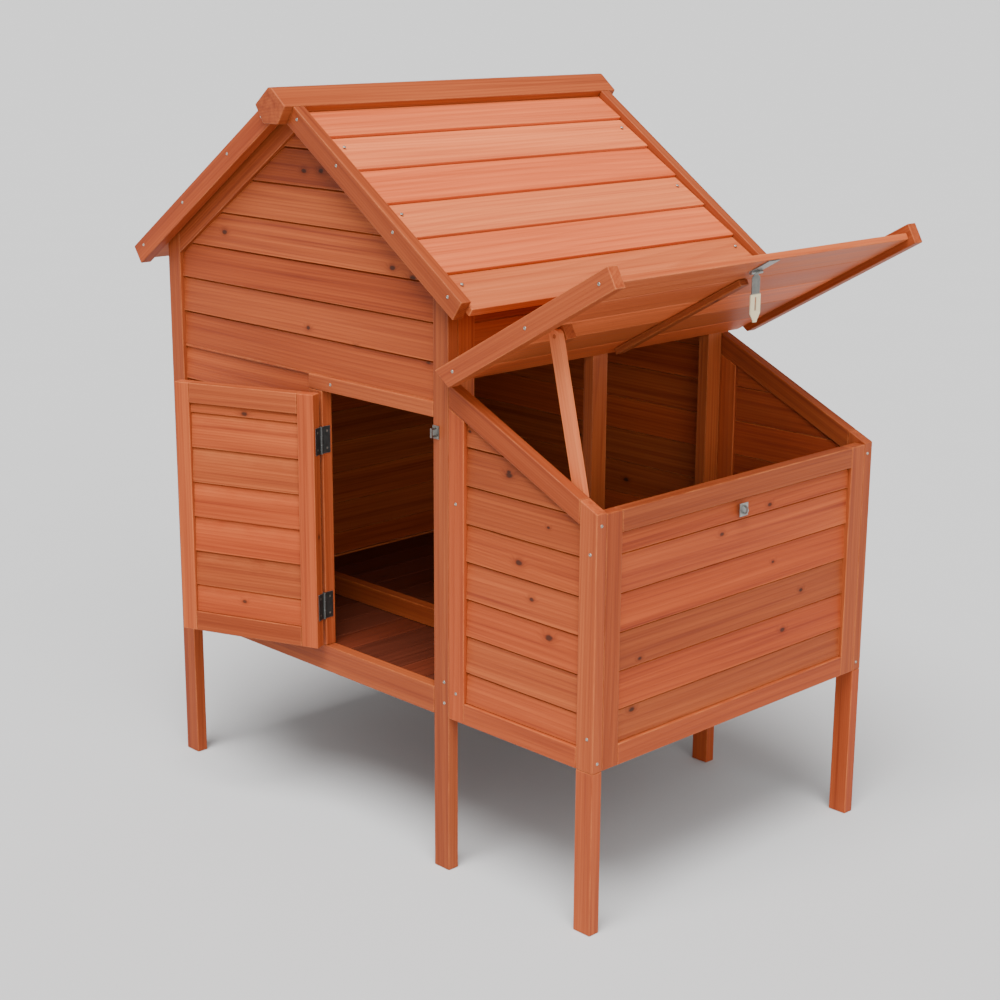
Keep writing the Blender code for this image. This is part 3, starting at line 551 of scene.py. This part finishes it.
def posts():
    """House posts run up to the roof; a nest box post is a leg with the frame's corner on top."""
    for end in ("front", "back"):
        for hand in ("left", "right"):
            node = "post_%s_%s" % (end, hand)
            low, high = extent(node)
            outline = [(low.x, 0.0), (high.x, 0.0), (high.x, roof_z(high.x, UNDER_BOARDS)),
                       (low.x, roof_z(low.x, UNDER_BOARDS))]
            timber(node + "_timber", prism("XZ", outline, low.y, high.y), (0, 0, 1), "frame", (node,))
    for node in ("nest_post_front", "nest_post_back"):
        low, high = extent(node)
        foot = box((low.x, low.y, 0.0), (high.x, high.y, RAIL_LOW - GAP / 2))
        timber(node + "_foot", foot, (0, 0, 1), "frame", (node,))
        outline = [(low.x, RAIL_LOW), (high.x, RAIL_LOW), (high.x, rim_z(high.x)),
                   (low.x, rim_z(low.x))]
        timber(node + "_timber", prism("XZ", outline, low.y, high.y), (0, 0, 1), "frame", (node,))


def plain_sticks():
    """Square-cut sticks that keep their node's box."""
    for node, grain in (("front_bottom_rail", (1, 0, 0)), ("back_bottom_rail", (1, 0, 0)),
                        ("left_bottom_rail", (0, 1, 0)), ("right_bottom_rail", (0, 1, 0)),
                        ("roost_bar", (1, 0, 0))):
        low, high = extent(node)
        timber(node + "_timber", box(low, high), grain, "frame", (node,))


def door_frame():
    low, high = extent("front_door_frame")
    jamb = box((low.x, low.y, low.z), (JAMB_RIGHT, high.y, HEADER_LOW - GAP / 2))
    timber("front_jamb", jamb, (0, 0, 1), "frame", ("front_door_frame",))
    header = box((low.x, low.y, HEADER_LOW + GAP / 2), (high.x, high.y, high.z))
    timber("front_header", header, (1, 0, 0), "frame", ("front_door_frame",))


def rafters():
    """A mitred pair in each gable, notched under the ridge cap."""
    run, cap = 0.0455, 0.0344
    for node in ("front_rafters", "back_rafters"):
        low, high = extent(node)
        for hand, side in (("left", -1), ("right", 1)):
            x = MID_X + side * (MID_X - RAIL - GAP)
            middle = MID_X + side * GAP / 2
            cap_point = roof_point(run, cap, side)
            outline = [(x, roof_z(x, RAFTER_LOW)), (x, roof_z(x, UNDER_BOARDS)),
                       roof_point(run, UNDER_BOARDS, side), cap_point, (middle, cap_point[1]),
                       (middle, roof_z(MID_X, RAFTER_LOW))]
            timber("%s_%s" % (node, hand), prism("XZ", outline, low.y, high.y),
                   (side * COS, 0, -SIN), "frame", (node,))


def walls():
    left, right = RAIL + GAP, HOUSE_X - RAIL - GAP
    low = SILL_TOP + GAP
    back = extent("back_wall_boards")[1].y
    gable_low = extent("front_gable_boards")[0].z
    left_top = extent("left_wall_boards")[1].z
    eave_low, eave_high = extent("right_eave_boards")
    sides = (STOCK + GAP, HOUSE_Y - STOCK - GAP)

    def in_gable(shape):
        under_roof(shape, UNDER_RAFTERS)

    wall_boards("front_wall_boards", "-Y", BOARD_INSET, (left, JAMB_LEFT - GAP), (low, gable_low - GAP))
    wall_boards("front_gable_boards", "-Y", BOARD_INSET, (left, right), (gable_low, GABLE_TOP),
                trim=in_gable)
    wall_boards("back_wall_boards", "+Y", back, (left, right), (low, GABLE_TOP), trim=in_gable)
    wall_boards("left_wall_boards", "-X", BOARD_INSET, sides, (low, left_top),
                trim=lambda shape: under_roof(shape, UNDER_BOARDS, (-1,)))
    wall_boards("right_eave_boards", "+X", HOUSE_X, (eave_low.y, eave_high.y),
                (eave_low.z, eave_high.z), trim=lambda shape: under_roof(shape, UNDER_BOARDS, (1,)))


def roof():
    upper, lap, lower = 0.008, 0.0048, 0.022  # depths of the boards
    cap_low, cap_high = extent("ridge_cap")
    half = [roof_point(CAP_RUN, 0.034, -1), roof_point(CAP_RUN, 0.0, -1)]
    half_flat = 0.004
    outline = half + [(MID_X - half_flat, cap_high.z), (MID_X + half_flat, cap_high.z)]
    outline += [(HOUSE_X - x, z) for x, z in reversed(half)]
    timber("ridge_cap_timber", prism("XZ", outline, cap_low.y, cap_high.y), (0, 1, 0), "frame",
           ("ridge_cap",), width=0.0018)
    for hand, side in (("left", -1), ("right", 1)):
        node = "roof_%s_boards" % hand
        low, high = extent(node)
        lines = [FIRST_ROOF_LAP + ROOF_PITCH * i for i in range(5)]
        lines = [CAP_RUN + GAP, *lines, BOARDS_RUN]
        for i, (start, end) in enumerate(zip(lines, lines[1:])):
            name = "%s_%02d" % (node, i + 1)
            dice = random.Random("lap" + name)
            lift = dice.uniform(-0.0003, 0.0003)
            share = (end - start) / ROOF_PITCH
            profile = [(start + GAP / 2, upper + lap * share + lift), (end - GAP / 2, upper + lift),
                       (end - GAP / 2, lower), (start + GAP / 2, lower)]
            outline = [roof_point(run, depth, side) for run, depth in profile]
            timber(name, prism("XZ", outline, low.y, high.y), (0, 1, 0), "roof", (node,),
                   width=BROAD_ARRIS)
        for end in ("front", "back"):
            node = "roof_%s_verge_%s" % (hand, end)
            low, high = extent(node)
            ends = (CAP_RUN + GAP, 0.0), (VERGE_RUN, 0.0), (VERGE_RUN, RAIL), (CAP_RUN + GAP, RAIL)
            outline = [roof_point(run, depth, side) for run, depth in ends]
            timber(node + "_timber", prism("XZ", outline, low.y, high.y), (side * COS, 0, -SIN),
                   "frame", (node,))


def dress(obj, look, width, segments=2):
    """A CAD node that keeps its own shape."""
    obj.data.materials.clear()
    obj.data.materials.append(look)
    rounded(obj, width, segments)


def right_wall_sticks():
    for node in ("right_stile_front", "right_stile_back", "right_middle_post"):
        obj = frame["nodes"][node]
        dress(obj, wood(node, (0, 0, 1), "frame"), ARRIS)


def nest_walls():
    slope_rail = RAIL / math.cos(LID_SHUT)
    slope = (math.cos(LID_SHUT), 0, -math.sin(LID_SHUT))
    stile_low, stile_high = HOUSE_X + GAP, HOUSE_X + RAIL
    end = NEST_X - RAIL - GAP
    for hand, side in (("front", "-Y"), ("back", "+Y")):
        node = "nest_side_%s_frame" % hand
        y_low = 0.0 if hand == "front" else HOUSE_Y - STOCK
        y_high = y_low + STOCK
        stile = [(stile_low, RAIL_LOW), (stile_high, RAIL_LOW),
                 (stile_high, rim_z(stile_high) - slope_rail),
                 (stile_low, rim_z(stile_low) - slope_rail)]
        timber(node + "_stile", prism("XZ", stile, y_low, y_high), (0, 0, 1), "frame", (node,))
        top = [(stile_low, rim_z(stile_low) - slope_rail + GAP), (end, rim_z(end) - slope_rail + GAP),
               (end, rim_z(end)), (stile_low, rim_z(stile_low))]
        timber(node + "_top", prism("XZ", top, y_low, y_high), slope, "frame", (node,))
        rail = box((stile_high + GAP, y_low, RAIL_LOW), (end, y_high, NEST_RAIL_TOP))
        timber(node + "_rail", rail, (1, 0, 0), "frame", (node,))
        if hand == "front":
            # The block that the prop stick's foot stands on
            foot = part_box("nest_side_front_frame")[1].y - ORIGIN.y
            ledge = [(0.947, 0.6283), (0.967, 0.6283), (0.967, 0.6470), (0.947, 0.6423)]
            shape = prism("XZ", ledge, y_high + GAP / 2, foot)
            timber("prop_ledge", shape, (1, 0, 0), "frame", (node,))
        face = BOARD_INSET if hand == "front" else HOUSE_Y - BOARD_INSET

        def trim(shape):
            cut(shape, Vector((end, 0.0, rim_z(end) - slope_rail - GAP)),
                Vector((math.sin(LID_SHUT), 0.0, math.cos(LID_SHUT))))

        wall_boards("nest_side_%s_boards" % hand, side, face, (stile_high + GAP, end),
                    (NEST_RAIL_TOP + GAP, 0.729), trim=trim)
    node = "nest_outer_frame"
    low, high = extent(node)
    for name, y_low, y_high in (("_stile_front", low.y, low.y + RAIL),
                                ("_stile_back", high.y - RAIL, high.y)):
        stile = box((low.x, y_low, low.z), (high.x, y_high, high.z))
        timber(node + name, stile, (0, 0, 1), "frame", (node,))
    for name, z_low, z_high in (("_rail_low", low.z, NEST_RAIL_TOP),
                                ("_rail_top", OUTER_RAIL_LOW, high.z)):
        shape = box((low.x, low.y + RAIL + GAP, z_low), (high.x, high.y - RAIL - GAP, z_high))
        timber(node + name, shape, (0, 1, 0), "frame", (node,))
    wall_boards("nest_outer_boards", "+X", NEST_X - BOARD_INSET, (OUTER_END, HOUSE_Y - OUTER_END),
                (NEST_RAIL_TOP + GAP, OUTER_RAIL_LOW - GAP))


def lid():
    """Lid coordinates: y from the door wall, and depths below the lid's top plane are negative."""
    lines = [0.066 + ROOF_PITCH * i for i in range(4)]
    lines = [0.004, *lines, 0.382]
    overlap = 0.0086
    upper, lap, lower = -0.0007, -0.0040, -0.0114
    for i, (start, end) in enumerate(zip(lines, lines[1:])):
        name = "lid_boards_%02d" % (i + 1)
        share = (end - start) / ROOF_PITCH
        outline = [(start + GAP / 2, upper + lap * share), (end - GAP / 2, upper),
                   (end - GAP / 2, lower), (start + GAP / 2, lower)]
        timber(name, prism("XZ", outline, -overlap, HOUSE_Y + overlap), (0, 1, 0), "roof",
               ("lid_boards",), LID, "lid", BROAD_ARRIS)
    near, far, top, bottom = 0.005, 0.390, 0.011, -0.022
    slant = (top - bottom) * math.tan(LID_SHUT)
    outline = [(near, top), (far, top), (far, bottom), (near + slant, bottom)]
    for end, y in (("front", -OVERHANG), ("back", HOUSE_Y + OVERHANG - STOCK)):
        timber("lid_batten_%s_timber" % end, prism("XZ", outline, y, y + STOCK), (1, 0, 0), "frame",
               ("lid_batten_" + end,), LID, "lid")
    middle = box((0.030, 0.321, -0.0218), (0.308, 0.341, -0.0118))
    timber("lid_batten_middle_timber", middle, (1, 0, 0), "frame", ("lid_batten_middle",), LID, "lid")


def door():
    low, high = DOOR_LOW, DOOR_HIGH
    face, back = DOOR_FACE, DOOR_FACE + STOCK
    for name, start, end in (("hinge", 0.00135, 0.031), ("latch", 0.231, 0.2575)):
        timber("door_stile_%s_timber" % name, box((start, face, low), (end, back, high)),
               (0, 0, 1), "frame", ("door_stile_" + name,), DOOR, "door")
    start, end = 0.031 + GAP, 0.231 - GAP
    for name, z in (("low", low), ("top", high - RAIL)):
        timber("door_rail_" + name, box((start, face, z), (end, back, z + RAIL)),
               (1, 0, 0), "frame", ("door_boards",), DOOR, "door")
    lines = [low + RAIL + 0.046 + LAP_PITCH * i for i in range(6)]
    lines = [low + RAIL, *lines, high - RAIL]
    near, far = face + 0.004, back - 0.0043
    tongue_near, tongue_far = 0.0122, 0.0134
    for i, (z_low, z_high) in enumerate(zip(lines, lines[1:])):
        slope = DOOR_SLOPE * min(1.0, (z_high - z_low) / LAP_PITCH)
        bottom, top = z_low + GAP, z_high - GAP
        tip = z_high + (-GAP if z_high == lines[-1] else DOOR_TONGUE)
        outline = [(near, bottom), (near + slope, top - LAP_BEVEL), (near + slope + DOOR_CHAMFER, top),
                   (tongue_near, top), (tongue_near, tip), (tongue_far, tip), (tongue_far, top),
                   (far - slope - DOOR_CHAMFER, top), (far - slope, top - LAP_BEVEL), (far, bottom)]
        if z_low != lines[0]:
            groove = z_low + DOOR_TONGUE + GAP
            outline += [(tongue_far + GAP, bottom), (tongue_far + GAP, groove),
                        (tongue_near - GAP, groove), (tongue_near - GAP, bottom)]
        timber("door_boards_%02d" % (i + 1), prism("YZ", outline, start, end), (1, 0, 0), "board",
               ("door_boards",), DOOR, "door")


def prop():
    lean = math.radians(13.4)
    along_lid = LID.to_3x3() @ Vector((1, 0, 0))
    for node, grain, tone in (("prop_stick", (-math.sin(lean), 0, math.cos(lean)), "pale"),
                              ("prop_pivot", along_lid, "frame")):
        dress(frame["nodes"][node], wood(node, grain, tone), 0.0009)


def hardware():
    """The CAD hinges, hasp and latch keep their shapes and get zinc plate."""
    dull = steel("dull", (0.11, 0.11, 0.105), 0.36)
    bright = steel("bright", (0.36, 0.36, 0.34), 0.26)
    aged = steel("aged", (0.20, 0.19, 0.17), 0.32)
    strap = steel("strap", (0.22, 0.22, 0.20), 0.32, pale=(0.80, 0.68, 0.42))
    looks = {"hasp_leaf": bright, "hasp_staple": bright, "bolt_base": dull, "bolt_rod": bright,
             "latch_keeper": aged, "hasp_strap": strap}
    looks.update({name: dull for name in frame["nodes"] if "_hinge_" in name})
    for name, look in looks.items():
        dress(frame["nodes"][name], look, 0.0002, 1)


def screw_head(shape, place, out, radius):
    """A head with a cross recess on a face whose outward direction is out."""
    rise = 0.12 if radius <= FLUSH_HEAD else 1.0
    turn = Vector((0, 0, 1)).rotation_difference(Vector(out)).to_matrix().to_4x4()
    at = Matrix.Translation(place) @ turn
    sunk = -0.0002
    dome = ((1.0, -0.0004), (1.0, 0.0002 * rise), (0.80, 0.0007 * rise), (0.42, 0.0010 * rise))
    rings = [((share,), height) for share, height in dome] + [((0.40, 0.15, 0.15, 0.15), sunk)]
    loops = []
    for shares, height in rings:
        loop = []
        for i in range(SCREW_STEPS):
            t = 2 * math.pi * i / SCREW_STEPS
            reach = radius * shares[i % len(shares)]
            spot = Vector((reach * math.cos(t), reach * math.sin(t), height))
            loop.append(shape.verts.new(at @ spot))
        loops.append(loop)
    for first, second in zip(loops, loops[1:]):
        for i in range(SCREW_STEPS):
            j = (i + 1) % SCREW_STEPS
            shape.faces.new((first[i], first[j], second[j], second[i]))
    shape.faces.new(loops[-1])
    shape.faces.new(list(reversed(loops[0])))


def screws():
    look = steel("screw", (0.36, 0.31, 0.25), 0.36)
    head, small, back = SCREW_RADIUS, FLUSH_HEAD, HOUSE_Y
    house, shut, leaf = [], [], []
    # Posts and stiles of the door wall and the back wall
    for y, out in ((0.0, (0, -1, 0)), (back, (0, 1, 0))):
        for x, z in ((0.990, 0.581), (0.990, 0.306), (0.690, 0.312), (0.010, 0.278), (0.690, 0.278),
                     (0.716, 0.300), (0.716, 0.600)):
            house.append(((x, y, z), out, head))
    house.append(((0.4273, 0.0, 0.737), (0, -1, 0), head))
    house.append(((0.389, 0.0, 0.345), (0, -1, 0), head))
    for y in (0.010, back - 0.012):
        for z in (0.623, 0.269):
            house.append(((NEST_X, y, z), (1, 0, 0), head))
    # Verges, the lid's battens and the roof boards
    for y, out in ((-OVERHANG, (0, -1, 0)), (back + OVERHANG, (0, 1, 0))):
        for side in (-1, 1):
            for run in (0.062, 0.173, 0.327, 0.470):
                x, z = roof_point(run, 0.012, side)
                house.append(((x, y, z), out, head))
        for run in (0.040, 0.208, 0.365):
            shut.append(((run, y, -0.004), out, head))
    for side in (-1, 1):
        for run in (0.148, 0.306, 0.464):
            for y in (0.012, back - 0.012):
                x, z = roof_point(run - 0.012, 0.0087, side)
                house.append(((x, y, z), (side * SIN, 0, COS), ROOF_SCREW_RADIUS))
    # Hinges, hasp and keeper
    for name in ("top", "bottom"):
        low, high = extent("door_hinge_%s_fixed" % name)
        for z in (low.z + 0.008, high.z - 0.008):
            house.append(((high.x - 0.00265, 0.0085, z), (1, 0, 0), small))
            leaf.append(((0.00035, 0.0115, z), (-1, 0, 0), small))
    for end in ("front", "back"):
        low, high = extent("lid_hinge_%s_fixed" % end)
        for y in (low.y + 0.008, high.y - 0.008):
            house.append(((low.x + 0.0008, y, 0.808), (1, 0, 0), small))
            shut.append(((0.020, y, 0.0004), (0, 0, 1), small))
    low, high = extent("hasp_staple")
    for y in (low.y + 0.003, high.y - 0.003):
        for z in (low.z + 0.003, high.z - 0.003):
            house.append(((low.x + 0.0014, y, z), (1, 0, 0), 0.0014))
    low, high = extent("latch_keeper")
    for z in (low.z + 0.003, high.z - 0.003):
        house.append(((high.x - 0.003, -0.0018, z), (0, -1, 0), 0.0018))
    for name, places, matrix, body in (("screws_house", house, HOUSE, "house"),
                                       ("screws_lid", shut, LID, "lid"),
                                       ("screws_door", leaf, DOOR, "door")):
        shape = bmesh.new()
        for place, out, radius in places:
            screw_head(shape, Vector(place), out, radius)
        piece(name, shape, matrix, body, look, (), 0.0)


# ---------------------------------------------------------------- studio

def studio():
    """A pale floor, a soft sky that brightens toward the horizon, and two broad suns."""
    mesh = bpy.data.meshes.new("floor")
    shape = bmesh.new()
    bmesh.ops.create_grid(shape, x_segments=1, y_segments=1, size=400.0)
    shape.to_mesh(mesh)
    shape.free()
    mesh.materials.append(paper("floor_paper", (0.56, 0.56, 0.56)))
    floor = bpy.data.objects.new("studio_floor", mesh)
    floor.location = (0.0, 0.0, -0.0003)
    bpy.context.scene.collection.objects.link(floor)

    world = bpy.data.worlds.new("studio")
    world.use_nodes = True
    tree = world.node_tree
    sky = tree.nodes["Background"]
    direction = tree.nodes.new("ShaderNodeTexCoord")
    parts = tree.nodes.new("ShaderNodeSeparateXYZ")
    fade = tree.nodes.new("ShaderNodeMapRange")
    for name, value in (("From Min", 0.10), ("From Max", 0.22), ("To Min", 1.0), ("To Max", 0.34)):
        fade.inputs[name].default_value = value
    tree.links.new(direction.outputs["Generated"], parts.inputs[0])
    tree.links.new(parts.outputs["Z"], fade.inputs["Value"])
    tree.links.new(fade.outputs["Result"], sky.inputs["Strength"])
    sky.inputs["Color"].default_value = (1.0, 1.0, 1.0, 1.0)
    bpy.context.scene.world = world

    for name, toward, strength, spread in (("top", (0.22, -0.42, 1.0), 5.6, 38.0),
                                           ("side", (1.0, -0.55, 0.62), 2.3, 50.0)):
        lamp = bpy.data.lights.new(name, "SUN")
        lamp.energy = strength
        lamp.angle = math.radians(spread)
        obj = bpy.data.objects.new(name, lamp)
        obj.rotation_euler = Vector(toward).to_track_quat("Z", "Y").to_euler()
        bpy.context.scene.collection.objects.link(obj)


def camera():
    """The photograph's camera, fitted to the straight edges seen in it."""
    azimuth, elevation, roll = math.radians(45.63), math.radians(15.07), math.radians(0.32)
    place = Vector((2.7402, -1.8880, 1.3520))
    lens = bpy.data.cameras.new("camera")
    lens.lens = 69.48
    lens.sensor_width = 36.0
    obj = bpy.data.objects.new("camera", lens)
    bpy.context.scene.collection.objects.link(obj)
    level = math.cos(elevation)
    look = Vector((-math.sin(azimuth) * level, math.cos(azimuth) * level, -math.sin(elevation)))
    right = look.cross(Vector((0, 0, 1))).normalized()
    up = right.cross(look)
    turned = right * math.cos(roll) + up * math.sin(roll)
    above = turned.cross(look)
    axes = Matrix((turned, above, -look)).transposed().to_4x4()
    obj.matrix_world = Matrix.Translation(ORIGIN + place) @ axes
    bpy.context.scene.camera = obj


posts()
plain_sticks()
door_frame()
rafters()
walls()
right_wall_sticks()
roof()
floor_planks("house_floor")
floor_planks("nest_floor")
nest_walls()
lid()
door()
prop()
hardware()
screws()
studio()
camera()
